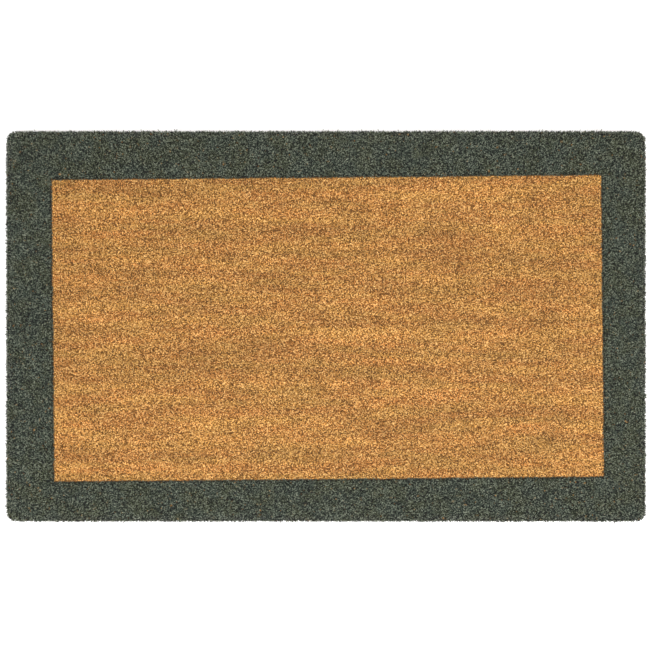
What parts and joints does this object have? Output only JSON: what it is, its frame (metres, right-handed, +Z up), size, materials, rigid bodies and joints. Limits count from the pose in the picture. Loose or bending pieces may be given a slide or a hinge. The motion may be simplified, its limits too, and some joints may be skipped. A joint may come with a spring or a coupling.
{
  "type": "door mat",
  "caption": "Rectangular hand-woven coir door mat with a natural field and a dark green border.",
  "frame": {"origin": "middle of the underside, on the floor", "axes": "+X along the long side, +Y along the short side from front to back, +Z up from the floor through the pile"},
  "size_m": [0.914, 0.559, 0.038],
  "materials": {
    "natural_coir": "matte",
    "green_coir": "matte",
    "ground_yarn": "matte",
    "edge_cord": "matte"
  },
  "bodies": {
    "root": {"tuft_row_01": "green_coir", "tuft_row_02": "green_coir", "tuft_row_03": "green_coir", "tuft_row_04": "green_coir", "tuft_row_05": "green_coir", "tuft_row_06": "natural_coir", "tuft_row_07": "natural_coir", "tuft_row_08": "natural_coir", "tuft_row_09": "natural_coir", "tuft_row_10": "natural_coir", "tuft_row_11": "natural_coir", "tuft_row_12": "natural_coir", "tuft_row_13": "natural_coir", "tuft_row_14": "natural_coir", "tuft_row_15": "natural_coir", "tuft_row_16": "natural_coir", "tuft_row_17": "natural_coir", "tuft_row_18": "natural_coir", "tuft_row_19": "natural_coir", "tuft_row_20": "natural_coir", "tuft_row_21": "natural_coir", "tuft_row_22": "natural_coir", "tuft_row_23": "natural_coir", "tuft_row_24": "natural_coir", "tuft_row_25": "natural_coir", "tuft_row_26": "natural_coir", "tuft_row_27": "natural_coir", "tuft_row_28": "natural_coir", "tuft_row_29": "natural_coir", "tuft_row_30": "natural_coir", "tuft_row_31": "natural_coir", "tuft_row_32": "natural_coir", "tuft_row_33": "natural_coir", "tuft_row_34": "natural_coir", "tuft_row_35": "natural_coir", "tuft_row_36": "natural_coir", "tuft_row_37": "natural_coir", "tuft_row_38": "natural_coir", "tuft_row_39": "natural_coir", "tuft_row_40": "natural_coir", "tuft_row_41": "green_coir", "tuft_row_42": "green_coir", "tuft_row_43": "green_coir", "tuft_row_44": "green_coir", "tuft_row_45": "green_coir", "left_border_tufts": "green_coir", "right_border_tufts": "green_coir", "warp_yarns_over": "ground_yarn", "warp_yarns_under": "ground_yarn", "weft_yarn": "ground_yarn", "front_heading_cord": "edge_cord", "back_heading_cord": "edge_cord", "left_edge_cord": "edge_cord", "right_edge_cord": "edge_cord", "edge_stitching": "edge_cord", "corner_knots": "edge_cord"}
  },
  "joints": []
}
